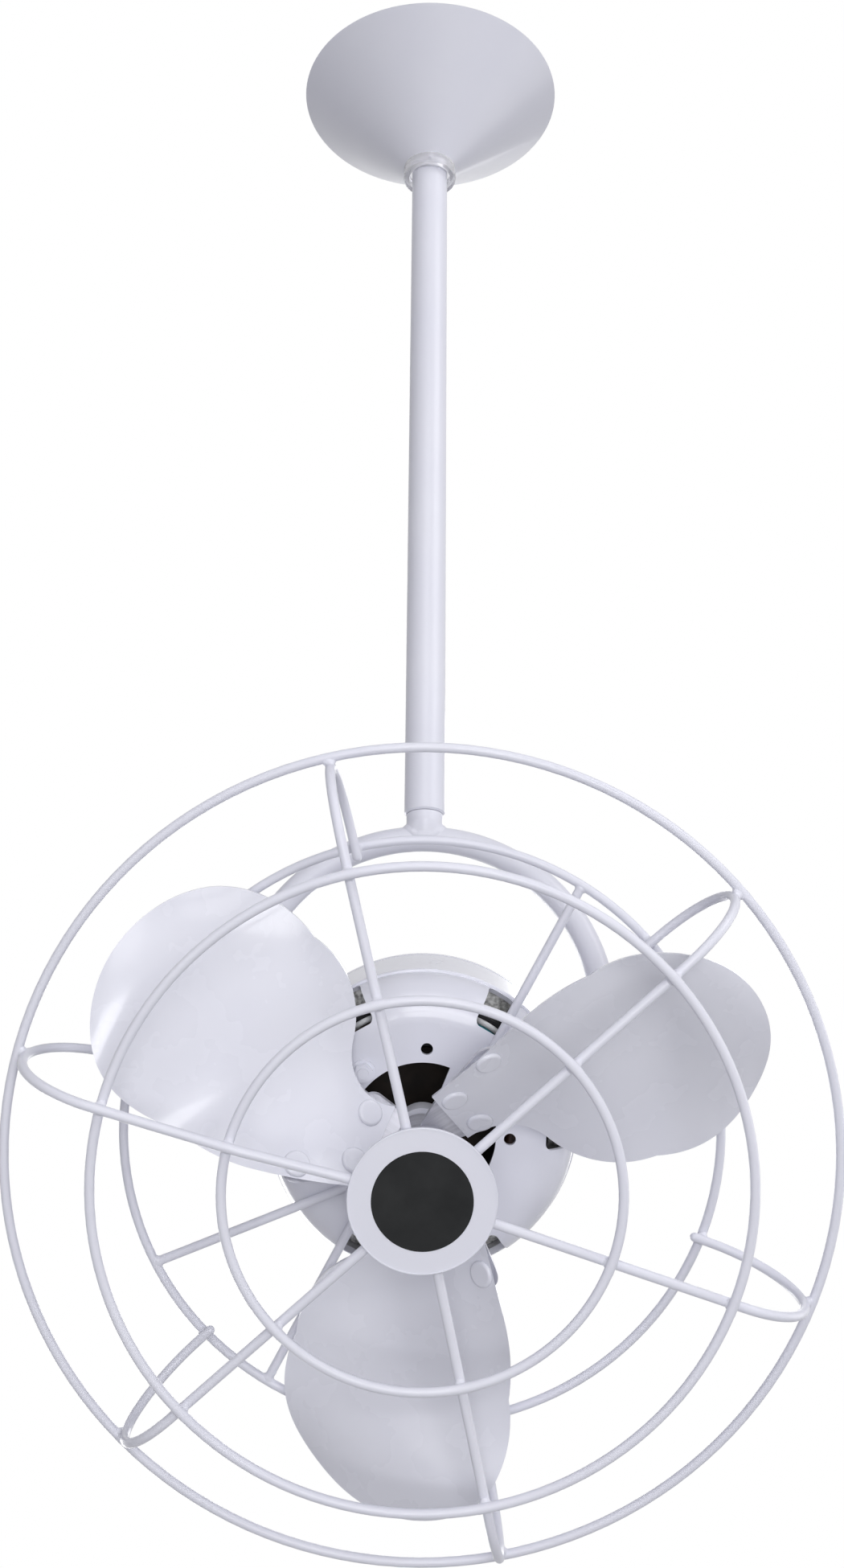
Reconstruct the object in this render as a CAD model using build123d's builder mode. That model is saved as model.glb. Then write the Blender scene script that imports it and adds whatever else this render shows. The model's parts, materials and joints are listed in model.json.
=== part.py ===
from build123d import *
import os
from math import atan, cos, hypot, radians, sin, sqrt, tan

# Directional ceiling fan: a canopy and a downrod carry a bent-tube yoke, and a
# caged head with a motor and three paddle blades tilts in that yoke.
# The origin is on the ceiling, on the rod's axis. +Z is up, and the head faces
# -Y and down. Sizes are in millimetres.

os.makedirs("parts", exist_ok=True)

# Clearances
face_gap = 0.05  # between two faces or wires that are pressed or welded together
running_gap = 0.15  # between a face that turns and the face beside it
bore_gap = 0.05  # round a shaft, a spigot or a screw in its hole

# Hanger bracket above the canopy
box_screw_spacing = 88.9
box_screw_hole_radius = 2.6
bracket_length = 108.0
bracket_width = 40.0
bracket_sheet = 2.5
bracket_inside_width = 55.0
bracket_depth = 30.5
socket_radius = 17.5
socket_slot_width = 24.0
ball_radius = 20.0
ball_top_cut = 14.0
ball_pin_radius = 3.0
ball_pin_sink = 1.5
ball_pin_chamfer = 0.6

# Canopy and its collar
canopy_rim_radius = 77.7
canopy_height = 54.0
canopy_mouth_radius = 14.4
canopy_sheet = 1.2
collar_radius = 15.9
collar_height = 7.6
collar_round = 0.8
band_radius = 12.6
band_height = 4.6
band_slot_width = 2.2
band_slot_count = 3
band_slot_turn = 30.0
collar_screw_radius = 2.0
collar_screw_length = 4.6
collar_socket_radius = 1.1
collar_socket_depth = 1.5

# Downrod
rod_radius = 10.65
rod_wall = 2.3
rod_above_pin = 12.0
rod_bottom = 477.0
rod_bevel = 0.9
lock_screw_radius = 2.0
lock_screw_drop = 13.0
lock_head_radius = 3.4
lock_head_height = 2.2
lock_head_round = 0.8
lock_socket_radius = 1.4
lock_socket_depth = 1.2

# Yoke
neck_radius = 9.5
neck_spigot_length = 24.0
neck_groove_depth = 2.0
neck_flare = 2.4
neck_foot_rise = 1.5
neck_foot_side = 0.4
neck_length = 13.4
joint_gap = 0.3
yoke_leg = 48.8
yoke_bow_radius = 90.8
yoke_tube_radius = 6.6
yoke_tube_wall = 1.6
wire_way_radius = 4.0
ear_thickness = 5.0
ear_radius = 11.0
ear_lead = 10.5
ear_transition = 12.0
ear_overlap = 1.0

# Head: the fan's axis points ahead and down
head_tilt = 27.0
tilt_bolt_radius = 4.0
tilt_bolt_head = 7.4
tilt_bolt_head_height = 5.3
tilt_washer_radius = 8.5
tilt_washer_sheet = 1.6
friction_washer_sheet = 1.6
trunnion_radius = 9.0
trunnion_root = 0.5
tilt_bolt_inset = 1.0

# Motor housing, ahead of (+) or behind (-) the tilt axis
shell_radius = 72.8
shell_wall = 2.2
shell_face = 45.7
shoulder_radius = 19.5
band_step = 1.3
band_front = 24.8
band_back = -10.0
band_round = 1.0
rear_flange = 3.0
rear_step = 3.4
rear_face = -42.0
rear_shoulder = 16.0
shaft_hole_radius = 6.0
bearing_radius = 11.0
bearing_width = 7.0
bearing_wall = 1.6
bearing_cover = 1.5
rear_bearing_cover = 1.0
slot_count = 6
slot_width = 13.5
slot_corner = 3.0
slot_turn = 59.5
slot_from = 0.0
slot_to = 77.0
window_margin = 6.4
window_spoke_angle = 46.0
window_turn = 45.4
window_count = 3
face_bolt_margin = 12.5
face_bolt_angle = 42.5
face_bolt_count = 4
face_bolt_radius = 2.5
face_boss_radius = 5.0
face_boss_depth = 6.5
face_nut_radius = 4.6
face_nut_height = 3.2
face_washer_radius = 5.6
face_washer_sheet = 1.2
face_bolt_end = 0.8
face_hole_radius = 2.8
face_stud_inset = 1.0
face_stud_chamfer = 0.4
shell_screw_count = 4
shell_screw_radius = 1.0
shell_screw_angle = 45.0
shell_screw_depth = 8.0
shell_screw_end = 0.5
shell_screw_head = 1.7
shell_screw_head_height = 1.8

# Inside the motor
core_front = 18.0
core_back = -6.0
core_slots = 24
core_slot_width = 5.0
core_width = 35.1
core_rim = 10.4
core_land = 2.7
stator_gap = 0.2
rotor_gap = 0.7
insulator_wall = 1.6
insulator_height = 11.0
winding_round = 4.9
shaft_radius = 4.0
shaft_chamfer = 0.5

# Cage
wire = 4.3
ring_small_radius = 83.5
ring_front_radius = 138.5
ring_rear_radius = 138.5
ring_rear_ahead = 48.0
rib_bend_radius = 36.5
rib_bend_centre = 143.2
rib_rear_end = 134.5
rib_front_end = 16.0
rib_slope = 3.2
rib_angles = (41.9, 103.2, 164.5, 223.2, 281.7, 340.3)
over_rib = 2
over_bend_back = 5.5
over_turn = 25.0
over_end_gap = 0.2
mount_spread = 16.1
mount_end_gap = 0.2
plate_radius = 28.0
plate_sheet = 2.0
cap_radius = 31.2
cap_sheet = 1.2
cap_rim = 0.3
cap_rim_width = 0.6
cap_rim_round = 0.25
cap_gap = 0.1
cap_boss_radius = 7.0
cap_screw_radius = 2.0
cap_screw_head = 4.0
cap_screw_head_height = 2.2
cap_screw_room = 0.5
inlay_radius = 21.2
inlay_sheet = 0.5
inlay_recess = 0.4

# Hub and blades. Each blade is a twisted sheet, given by cross-sections at
# growing distance from the fan's axis: how far ahead its radial line lies, its
# pitch, its camber rate and its reach to either side of that line.
blade_count = 3
blade_angle = 31.9
blade_sheet = 1.8
section_radius = (-2.0, 22.0, 50.0, 80.0, 110.0, 170.0)
section_ahead = (67.1, 65.1, 72.3, 75.8, 80.6, 88.1)
section_pitch = (41.2, 41.2, 34.3, 27.1, 20.6, 16.7)
section_camber = (0.0005, 0.0005, 0.0051, 0.0031, 0.0007, -0.0052)
section_reach = (
    (-16.0, 30.0),
    (-16.0, 30.0),
    (-50.0, 45.0),
    (-70.0, 50.0),
    (-72.0, 52.0),
    (-72.0, 52.0),
)
paddle_centre = (112.8, -15.2)
paddle_radius = 51.4
lead_angle = 98.0
trail_angle = -118.0
blade_root = 19.0
root_lead = 23.0
root_trail = -9.0
lead_bend = (65.6, 33.9)
trail_middle = (65.8, -50.7)
trail_bend = (50.8, -27.7)
trail_throat = (40.0, -12.5)
hub_radius = 13.0
hub_back = 54.0
hub_front = 88.0
hub_chamfer = 1.0
arm_sheet = 3.0
arm_root = 8.0
arm_root_lead = 3.0
arm_root_margin = 8.5
arm_margin = 7.0
rivet_places = ((49.0, 25.0), (26.1, 15.3), (28.6, -3.1))
rivet_radius = 2.0
rivet_head_radius = 6.0
rivet_head_height = 1.5
rivet_tail_radius = 3.4
rivet_tail_height = 1.2
hub_nut_radius = 7.5
hub_nut_height = 6.0
shaft_end = 2.0

# Planes and axes of the head
pivot_drop = rod_bottom + neck_length + yoke_bow_radius + yoke_leg
tilt = radians(head_tilt)
head_plane = Plane(origin=(0, 0, -pivot_drop), x_dir=(1, 0, 0), z_dir=(0, -cos(tilt), -sin(tilt)))
head_profile = Plane(origin=head_plane.origin, x_dir=head_plane.x_dir, z_dir=-head_plane.y_dir)
fan_axis = Axis(head_plane.origin, head_plane.z_dir)


def radial_plane(angle):
    # Local x runs out from the fan's axis at this angle, local y runs ahead.
    outward = head_plane.x_dir.rotate(fan_axis, angle)
    return Plane(origin=head_plane.origin, x_dir=outward, z_dir=outward.cross(head_plane.z_dir))


def turned_plane(angle, ahead):
    # Square to the fan's axis, with local x out at this angle.
    outward = head_plane.x_dir.rotate(fan_axis, angle)
    origin = head_plane.origin + head_plane.z_dir * ahead
    return Plane(origin=origin, x_dir=outward, z_dir=head_plane.z_dir)


def hand_over(piece, name):
    piece.part.label = name
    export_step(piece.part, f"parts/{name}.step")


# Hanger bracket: one bent strip with two feet on the ceiling and a socket below
bracket_half = bracket_inside_width / 2
with BuildPart() as ceiling_bracket:
    with BuildSketch(Plane.XZ):
        with BuildLine():
            Polyline(
                (-bracket_length / 2, 0),
                (-bracket_half, 0),
                (-bracket_half, -bracket_depth + bracket_sheet),
                (bracket_half, -bracket_depth + bracket_sheet),
                (bracket_half, 0),
                (bracket_length / 2, 0),
                (bracket_length / 2, -bracket_sheet),
                (bracket_half + bracket_sheet, -bracket_sheet),
                (bracket_half + bracket_sheet, -bracket_depth),
                (-bracket_half - bracket_sheet, -bracket_depth),
                (-bracket_half - bracket_sheet, -bracket_sheet),
                (-bracket_length / 2, -bracket_sheet),
                close=True,
            )
        make_face()
    extrude(amount=bracket_width / 2, both=True)
    with Locations(Plane.XY):
        with GridLocations(box_screw_spacing, 0, 2, 1):
            Hole(box_screw_hole_radius, depth=2 * bracket_sheet)
    with BuildSketch(Plane.XY.offset(-bracket_depth)):
        Circle(socket_radius)
        with Locations((0, -bracket_width / 4)):
            Rectangle(socket_slot_width, bracket_width / 2)
    extrude(amount=bracket_sheet, mode=Mode.SUBTRACT)
hand_over(ceiling_bracket, "ceiling_bracket")

# Hanger ball: it rests in the socket and is pinned to the rod
socket_top = -bracket_depth + bracket_sheet
ball_height = socket_top + sqrt(ball_radius**2 - socket_radius**2) + face_gap
with BuildPart() as hanger_ball:
    with Locations((0, 0, ball_height)):
        Sphere(ball_radius)
    with Locations((0, 0, ball_height + ball_top_cut)):
        Cylinder(
            ball_radius,
            ball_radius,
            align=(Align.CENTER, Align.CENTER, Align.MIN),
            mode=Mode.SUBTRACT,
        )
    with Locations((0, 0, ball_height)):
        Cylinder(rod_radius + bore_gap, 3 * ball_radius, mode=Mode.SUBTRACT)
        Cylinder(ball_pin_radius + bore_gap, 3 * ball_radius, rotation=(0, 90, 0), mode=Mode.SUBTRACT)
hand_over(hanger_ball, "hanger_ball")

with BuildPart() as ball_pin:
    with Locations((0, 0, ball_height)):
        Cylinder(ball_pin_radius, 2 * (ball_radius - ball_pin_sink), rotation=(0, 90, 0))
    chamfer(ball_pin.edges().filter_by(GeomType.CIRCLE), ball_pin_chamfer)
hand_over(ball_pin, "ball_pin")

# Downrod: a tube with a cross hole for the ball's pin and one for the lock screw
rod_top = ball_height + rod_above_pin
lock_screw_height = -rod_bottom + lock_screw_drop
with BuildPart() as downrod:
    with BuildSketch(Plane.XY.offset(-rod_bottom)):
        Circle(rod_radius)
        Circle(rod_radius - rod_wall, mode=Mode.SUBTRACT)
    extrude(amount=rod_bottom + rod_top)
    chamfer(downrod.faces().sort_by(Axis.Z)[0].edges().sort_by(SortBy.LENGTH)[-1], rod_bevel)
    with Locations((0, 0, ball_height)):
        Cylinder(ball_pin_radius + bore_gap, 3 * rod_radius, rotation=(0, 90, 0), mode=Mode.SUBTRACT)
    with BuildSketch(Plane.XZ.offset(-rod_radius - 1)):
        with Locations((0, lock_screw_height)):
            Circle(lock_screw_radius + bore_gap)
    extrude(amount=rod_radius, mode=Mode.SUBTRACT)
hand_over(downrod, "downrod")

# Canopy: a thin straight cone, open above, whose mouth sits on the collar
cone_run = canopy_rim_radius - canopy_mouth_radius
cone_slant = hypot(cone_run, canopy_height)
cone_wall = canopy_sheet * cone_slant / canopy_height
with BuildPart() as canopy:
    with BuildSketch(Plane.XZ):
        with BuildLine():
            Polyline(
                (canopy_rim_radius, 0),
                (canopy_mouth_radius, -canopy_height),
                (canopy_mouth_radius - cone_wall, -canopy_height),
                (canopy_rim_radius - cone_wall, 0),
                close=True,
            )
        make_face()
    revolve(axis=Axis.Z)
hand_over(canopy, "canopy")

# Collar: a clear ring under the canopy, held by a bright split band round the rod
collar_top = -canopy_height - face_gap
collar_screw_hole = collar_top - band_height / 2
with BuildPart() as canopy_collar:
    with BuildSketch(Plane.XY.offset(collar_top)):
        Circle(collar_radius)
        Circle(band_radius + face_gap, mode=Mode.SUBTRACT)
    extrude(amount=-collar_height)
    fillet(canopy_collar.faces().sort_by(Axis.Z)[0].edges().sort_by(SortBy.LENGTH)[-1], collar_round)
    with Locations(Location((0, band_radius, collar_screw_hole), (-90, 0, 0))):
        Cylinder(collar_screw_radius + bore_gap, collar_radius, mode=Mode.SUBTRACT)
hand_over(canopy_collar, "canopy_collar")

with BuildPart() as collar_band:
    with BuildSketch(Plane.XY.offset(collar_top)):
        Circle(band_radius)
        Circle(rod_radius + bore_gap, mode=Mode.SUBTRACT)
    extrude(amount=-band_height)
    with BuildSketch(Plane.XY.offset(collar_top - band_height)):
        with PolarLocations((rod_radius + band_radius) / 2, band_slot_count, start_angle=band_slot_turn):
            Rectangle(2 * (band_radius - rod_radius), band_slot_width)
    extrude(amount=band_height / 2, mode=Mode.SUBTRACT)
    with Locations(Location((0, band_radius, collar_screw_hole), (-90, 0, 0))):
        Cylinder(collar_screw_radius + bore_gap, collar_radius, mode=Mode.SUBTRACT)
hand_over(collar_band, "collar_band")

with BuildPart() as collar_screw:
    with BuildSketch(Plane.XZ.offset(-rod_radius - face_gap)):
        with Locations((0, collar_screw_hole)):
            Circle(collar_screw_radius)
    extrude(amount=-collar_screw_length)
    with BuildSketch(Plane.XZ.offset(-rod_radius - face_gap - collar_screw_length)):
        with Locations((0, collar_screw_hole)):
            RegularPolygon(collar_socket_radius, 6)
    extrude(amount=collar_socket_depth, mode=Mode.SUBTRACT)
hand_over(collar_screw, "collar_screw")

# Yoke neck: a spigot in the rod with a groove for the lock screw, a round neck
# and a flared foot that is welded over the bow
bow_centre_height = -pivot_drop + yoke_leg
bow_top = bow_centre_height + yoke_bow_radius
spigot_radius = rod_radius - rod_wall - bore_gap
groove_half = lock_screw_radius + running_gap
neck_top = -rod_bottom - joint_gap
neck_foot = bow_top + yoke_tube_radius + neck_foot_rise
with BuildPart() as yoke_neck:
    with BuildSketch(Plane.XZ):
        with BuildLine():
            Polyline(
                (0, -rod_bottom + neck_spigot_length),
                (spigot_radius, -rod_bottom + neck_spigot_length),
                (spigot_radius, lock_screw_height + groove_half),
                (spigot_radius - neck_groove_depth, lock_screw_height + groove_half),
                (spigot_radius - neck_groove_depth, lock_screw_height - groove_half),
                (spigot_radius, lock_screw_height - groove_half),
                (spigot_radius, neck_top),
                (neck_radius, neck_top),
                (neck_radius, neck_foot),
                (0, neck_foot),
                close=True,
            )
        make_face()
    revolve(axis=Axis.Z)
    with BuildSketch(Plane.XY.offset(neck_foot)):
        Circle(neck_radius)
    with BuildSketch(Plane.XY.offset(bow_top)):
        Ellipse(neck_radius + neck_flare, yoke_tube_radius + neck_foot_side)
    loft()
    with Locations(Location((0, 0, bow_centre_height), (90, 0, 0))):
        Torus(yoke_bow_radius, yoke_tube_radius + face_gap, mode=Mode.SUBTRACT)
    with BuildSketch(Plane.XY.offset(bow_top)):
        Circle(wire_way_radius)
    extrude(amount=yoke_bow_radius, mode=Mode.SUBTRACT)
hand_over(yoke_neck, "yoke_neck")

# Lock screw: its tip rides in the neck's groove, so the yoke turns but can't drop
lock_tip = spigot_radius - neck_groove_depth + running_gap
with BuildPart() as lock_screw:
    with BuildSketch(Plane.XZ.offset(-lock_tip)):
        with Locations((0, lock_screw_height)):
            Circle(lock_screw_radius)
    extrude(amount=-(rod_radius + face_gap - lock_tip))
    with BuildSketch(Plane.XZ.offset(-rod_radius - face_gap)):
        with Locations((0, lock_screw_height)):
            Circle(lock_head_radius)
    extrude(amount=-lock_head_height)
    fillet(lock_screw.faces().sort_by(Axis.Y)[-1].edges(), lock_head_round)
    with BuildSketch(Plane.XZ.offset(-rod_radius - face_gap - lock_head_height)):
        with Locations((0, lock_screw_height)):
            RegularPolygon(lock_socket_radius, 6)
    extrude(amount=lock_socket_depth, mode=Mode.SUBTRACT)
hand_over(lock_screw, "lock_screw")

# Yoke bow: a half circle of tube with straight legs, flattened into drilled ears
leg_end = -pivot_drop + ear_lead + ear_transition
with BuildPart() as yoke_bow:
    with BuildLine(Plane.XZ) as bow_path:
        left_leg = Line((-yoke_bow_radius, leg_end), (-yoke_bow_radius, bow_centre_height))
        half_round = CenterArc((0, bow_centre_height), yoke_bow_radius, 180, -180)
        right_leg = Line(half_round @ 1, (yoke_bow_radius, leg_end))
    with BuildSketch(Plane(origin=left_leg @ 0, z_dir=left_leg % 0)):
        Circle(yoke_tube_radius)
    sweep(path=bow_path.wire())
    with BuildSketch(Plane(origin=left_leg @ 0, z_dir=left_leg % 0)):
        Circle(yoke_tube_radius - yoke_tube_wall)
    sweep(path=bow_path.wire(), mode=Mode.SUBTRACT)
    with BuildSketch(Plane.XY.offset(bow_top)):
        Circle(wire_way_radius)
    extrude(amount=2 * yoke_tube_radius, mode=Mode.SUBTRACT)
    for side in (-1, 1):
        with BuildSketch(Plane.XY.offset(leg_end)):
            with Locations((side * yoke_bow_radius, 0)):
                Ellipse(yoke_tube_radius, yoke_tube_radius)
        with BuildSketch(Plane.XY.offset(leg_end - ear_transition)):
            with Locations((side * yoke_bow_radius, 0)):
                Ellipse(ear_thickness / 2, ear_radius)
        loft()
    for side in (-1, 1):
        with BuildSketch(Plane.YZ.offset(side * yoke_bow_radius)):
            with Locations((0, -pivot_drop)):
                Circle(ear_radius)
            with Locations((0, -pivot_drop + (ear_lead + ear_overlap) / 2)):
                Rectangle(2 * ear_radius, ear_lead + ear_overlap)
        extrude(amount=ear_thickness / 2, both=True)
    with BuildSketch(Plane.YZ):
        with Locations((0, -pivot_drop)):
            Circle(tilt_bolt_radius + bore_gap)
    extrude(amount=yoke_bow_radius + ear_thickness, both=True, mode=Mode.SUBTRACT)
hand_over(yoke_bow, "yoke_bow")

# Motor front shell: band, cylinder, rounded shoulder and flat face in one casting
shell_inner = shell_radius - shell_wall
shoulder_start = shell_face - shoulder_radius
face_radius = shell_radius - shoulder_radius
face_bolt_circle = face_radius - face_bolt_margin
motor_band_radius = shell_radius + band_step
bearing_front = shell_face - shell_wall - bearing_cover
bearing_seat = bearing_radius + bore_gap
window_inner_radius = bearing_seat + bearing_wall + face_gap
window_outer_radius = face_bolt_circle - window_margin
window_reach = 2 * window_outer_radius
face_hole_angle = face_bolt_angle + 180 / face_bolt_count
shell_screw_circle = (shell_inner + motor_band_radius) / 2
ear_inner = yoke_bow_radius - ear_thickness / 2
ear_outer = yoke_bow_radius + ear_thickness / 2
tilt_head_seat = ear_outer + running_gap + tilt_washer_sheet + face_gap
trunnion_end = ear_inner - running_gap - friction_washer_sheet - face_gap
with BuildPart() as motor_front_shell:
    with BuildSketch(head_profile):
        with BuildLine():
            Line((shaft_hole_radius, shell_face), (face_radius, shell_face))
            CenterArc((face_radius, shoulder_start), shoulder_radius, 0, 90)
            Polyline(
                (shell_radius, shoulder_start),
                (shell_radius, band_front),
                (motor_band_radius, band_front),
                (motor_band_radius, band_back),
                (shell_inner, band_back),
                (shell_inner, shoulder_start),
            )
            CenterArc((face_radius, shoulder_start), shoulder_radius - shell_wall, 0, 90)
            Polyline(
                (face_radius, shell_face - shell_wall),
                (bearing_seat + bearing_wall, shell_face - shell_wall),
                (bearing_seat + bearing_wall, bearing_front - bearing_width),
                (bearing_seat, bearing_front - bearing_width),
                (bearing_seat, bearing_front + face_gap),
                (shaft_hole_radius, bearing_front + face_gap),
                (shaft_hole_radius, shell_face),
            )
        make_face()
    revolve(axis=fan_axis)
    fillet(
        motor_front_shell.edges()
        .filter_by(GeomType.CIRCLE)
        .filter_by(lambda e: abs(e.radius - motor_band_radius) < 0.01),
        band_round,
    )
    # Trunnions that the yoke's ears hold
    for side in (-1, 1):
        with BuildSketch(Plane.YZ.offset(side * trunnion_end)):
            with Locations((0, -pivot_drop)):
                Circle(trunnion_radius)
        extrude(amount=-side * (trunnion_end - shell_inner - trunnion_root))
    with BuildSketch(Plane.YZ):
        with Locations((0, -pivot_drop)):
            Circle(tilt_bolt_radius + bore_gap)
    extrude(amount=trunnion_end, both=True, mode=Mode.SUBTRACT)
    # Bosses behind the face for the four studs
    with BuildSketch(head_plane.offset(shell_face - shell_wall)):
        with PolarLocations(face_bolt_circle, face_bolt_count, start_angle=face_bolt_angle):
            Circle(face_boss_radius)
    extrude(amount=-face_boss_depth)
    # Stud holes, and plain holes between them
    with BuildSketch(head_plane.offset(shell_face)):
        with PolarLocations(face_bolt_circle, face_bolt_count, start_angle=face_bolt_angle):
            Circle(face_bolt_radius + bore_gap)
        with PolarLocations(face_bolt_circle, face_bolt_count, start_angle=face_hole_angle):
            Circle(face_hole_radius)
    extrude(amount=-shell_wall - face_boss_depth, mode=Mode.SUBTRACT)
    # Three windows round the shaft, with wedge-shaped spokes between them
    with BuildSketch(head_plane.offset(shell_face)):
        Circle(window_outer_radius)
        Circle(window_inner_radius, mode=Mode.SUBTRACT)
        spoke_half = window_reach * tan(radians(window_spoke_angle / 2))
        with PolarLocations(0, window_count, start_angle=window_turn):
            Polygon(
                (0, 0),
                (window_reach, -spoke_half),
                (window_reach, spoke_half),
                align=None,
                mode=Mode.SUBTRACT,
            )
    extrude(amount=-shell_wall, mode=Mode.SUBTRACT)
    # Six cooling slots over the shoulder, cut square to its chord
    slot_lean = radians((slot_from + slot_to) / 2)
    slot_half = radians((slot_to - slot_from) / 2)
    for number in range(slot_count):
        spoke = radial_plane(slot_turn + number * 360 / slot_count)
        slot_out = spoke.x_dir * cos(slot_lean) + spoke.y_dir * sin(slot_lean)
        slot_middle = spoke.from_local_coords(Vector(face_radius, shoulder_start, 0))
        slot_middle = slot_middle + slot_out * shoulder_radius * cos(slot_half)
        slot_floor = slot_middle - slot_out * 2 * shell_wall
        slot_plane = Plane(origin=slot_floor, x_dir=spoke.z_dir, z_dir=slot_out)
        with BuildSketch(slot_plane):
            RectangleRounded(slot_width, 2 * shoulder_radius * sin(slot_half), slot_corner)
        extrude(amount=shoulder_radius, mode=Mode.SUBTRACT)
    # Holes in the band for the screws from behind
    with BuildSketch(head_plane.offset(band_back)):
        with PolarLocations(shell_screw_circle, shell_screw_count, start_angle=shell_screw_angle):
            Circle(shell_screw_radius + bore_gap)
    extrude(amount=shell_screw_depth, mode=Mode.SUBTRACT)
hand_over(motor_front_shell, "motor_front_shell")

# Motor rear shell: flange, cylinder, rounded shoulder, closed flat back
rear_start = rear_face + rear_shoulder
rear_flange_front = band_back - face_gap
rear_flange_back = band_back - rear_flange
rear_radius = shell_radius - rear_step
rear_inner = rear_radius - shell_wall
rear_flat = rear_radius - rear_shoulder
rear_bearing_back = rear_face + shell_wall + rear_bearing_cover
with BuildPart() as motor_rear_shell:
    with BuildSketch(head_profile):
        with BuildLine():
            Line((0, rear_face), (rear_flat, rear_face))
            CenterArc((rear_flat, rear_start), rear_shoulder, -90, 90)
            Polyline(
                (rear_radius, rear_start),
                (rear_radius, rear_flange_back),
                (motor_band_radius, rear_flange_back),
                (motor_band_radius, rear_flange_front),
                (rear_inner, rear_flange_front),
                (rear_inner, rear_start),
            )
            CenterArc((rear_flat, rear_start), rear_shoulder - shell_wall, -90, 90)
            Polyline(
                (rear_flat, rear_face + shell_wall),
                (bearing_seat + bearing_wall, rear_face + shell_wall),
                (bearing_seat + bearing_wall, rear_bearing_back + bearing_width),
                (bearing_seat, rear_bearing_back + bearing_width),
                (bearing_seat, rear_bearing_back - face_gap),
                (0, rear_bearing_back - face_gap),
                (0, rear_face),
            )
        make_face()
    revolve(axis=fan_axis)
    with BuildSketch(head_plane.offset(rear_flange_back)):
        with PolarLocations(shell_screw_circle, shell_screw_count, start_angle=shell_screw_angle):
            Circle(shell_screw_radius + bore_gap)
    extrude(amount=rear_flange, mode=Mode.SUBTRACT)
hand_over(motor_rear_shell, "motor_rear_shell")

with BuildPart() as shell_screws:
    with BuildSketch(head_plane.offset(rear_flange_back)):
        with PolarLocations(shell_screw_circle, shell_screw_count, start_angle=shell_screw_angle):
            Circle(shell_screw_radius)
    extrude(amount=rear_flange + shell_screw_depth - shell_screw_end)
    with BuildSketch(head_plane.offset(rear_flange_back - face_gap)):
        with PolarLocations(shell_screw_circle, shell_screw_count, start_angle=shell_screw_angle):
            Circle(shell_screw_head)
    extrude(amount=-shell_screw_head_height)
    with BuildSketch(head_plane.offset(rear_flange_back)):
        with PolarLocations(shell_screw_circle, shell_screw_count, start_angle=shell_screw_angle):
            Circle(shell_screw_radius)
    extrude(amount=-shell_screw_head_height)
hand_over(shell_screws, "shell_screws")

# Tilt bolts, their outer washers and the friction washers inside the ears
with BuildPart() as tilt_bolts:
    for side in (-1, 1):
        with BuildSketch(Plane.YZ.offset(side * (shell_inner + tilt_bolt_inset))):
            with Locations((0, -pivot_drop)):
                Circle(tilt_bolt_radius)
        extrude(amount=side * (tilt_head_seat - shell_inner - tilt_bolt_inset))
        with BuildSketch(Plane.YZ.offset(side * tilt_head_seat)):
            with Locations((0, -pivot_drop)):
                RegularPolygon(tilt_bolt_head, 6)
        extrude(amount=side * tilt_bolt_head_height)
hand_over(tilt_bolts, "tilt_bolts")

with BuildPart() as tilt_washers:
    for side in (-1, 1):
        with BuildSketch(Plane.YZ.offset(side * (ear_outer + running_gap))):
            with Locations((0, -pivot_drop)):
                Circle(tilt_washer_radius)
                Circle(tilt_bolt_radius + bore_gap, mode=Mode.SUBTRACT)
        extrude(amount=side * tilt_washer_sheet)
        with BuildSketch(Plane.YZ.offset(side * (trunnion_end + face_gap))):
            with Locations((0, -pivot_drop)):
                Circle(tilt_washer_radius)
                Circle(tilt_bolt_radius + bore_gap, mode=Mode.SUBTRACT)
        extrude(amount=side * friction_washer_sheet)
hand_over(tilt_washers, "tilt_washers")

# Stator: laminated core, white insulators at both ends, windings in them
core_radius = shell_inner - stator_gap
stator_bore_radius = core_radius - core_width
insulator_outer_radius = core_radius - core_rim
insulator_inner_radius = stator_bore_radius + core_land
winding_inner = insulator_inner_radius + insulator_wall + face_gap
winding_outer = insulator_outer_radius - insulator_wall - face_gap
with BuildPart() as stator_core:
    with BuildSketch(head_plane.offset(core_back)):
        Circle(core_radius)
        Circle(stator_bore_radius, mode=Mode.SUBTRACT)
        with PolarLocations((winding_inner + winding_outer) / 2, core_slots):
            SlotOverall(winding_outer - winding_inner, core_slot_width, mode=Mode.SUBTRACT)
    extrude(amount=core_front - core_back)
hand_over(stator_core, "stator_core")

stator_ends = ((1, core_front + face_gap), (-1, core_back - face_gap))
with BuildPart() as stator_insulators:
    for side, foot in stator_ends:
        floor = foot + side * insulator_wall
        rim = foot + side * insulator_height
        with BuildSketch(head_profile):
            with BuildLine():
                Polyline(
                    (insulator_inner_radius, foot),
                    (insulator_outer_radius, foot),
                    (insulator_outer_radius, rim),
                    (insulator_outer_radius - insulator_wall, rim),
                    (insulator_outer_radius - insulator_wall, floor),
                    (insulator_inner_radius + insulator_wall, floor),
                    (insulator_inner_radius + insulator_wall, rim),
                    (insulator_inner_radius, rim),
                    close=True,
                )
            make_face()
        revolve(axis=fan_axis)
hand_over(stator_insulators, "stator_insulators")

with BuildPart() as stator_windings:
    for side, foot in stator_ends:
        middle = foot + side * (insulator_wall + face_gap + insulator_height / 2)
        with BuildSketch(head_profile):
            with Locations(((winding_inner + winding_outer) / 2, middle)):
                RectangleRounded(winding_outer - winding_inner, insulator_height, winding_round)
        revolve(axis=fan_axis)
hand_over(stator_windings, "stator_windings")

with BuildPart() as front_bearing:
    with BuildSketch(head_plane.offset(bearing_front)):
        Circle(bearing_radius)
        Circle(shaft_radius + bore_gap, mode=Mode.SUBTRACT)
    extrude(amount=-bearing_width)
hand_over(front_bearing, "front_bearing")

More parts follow.
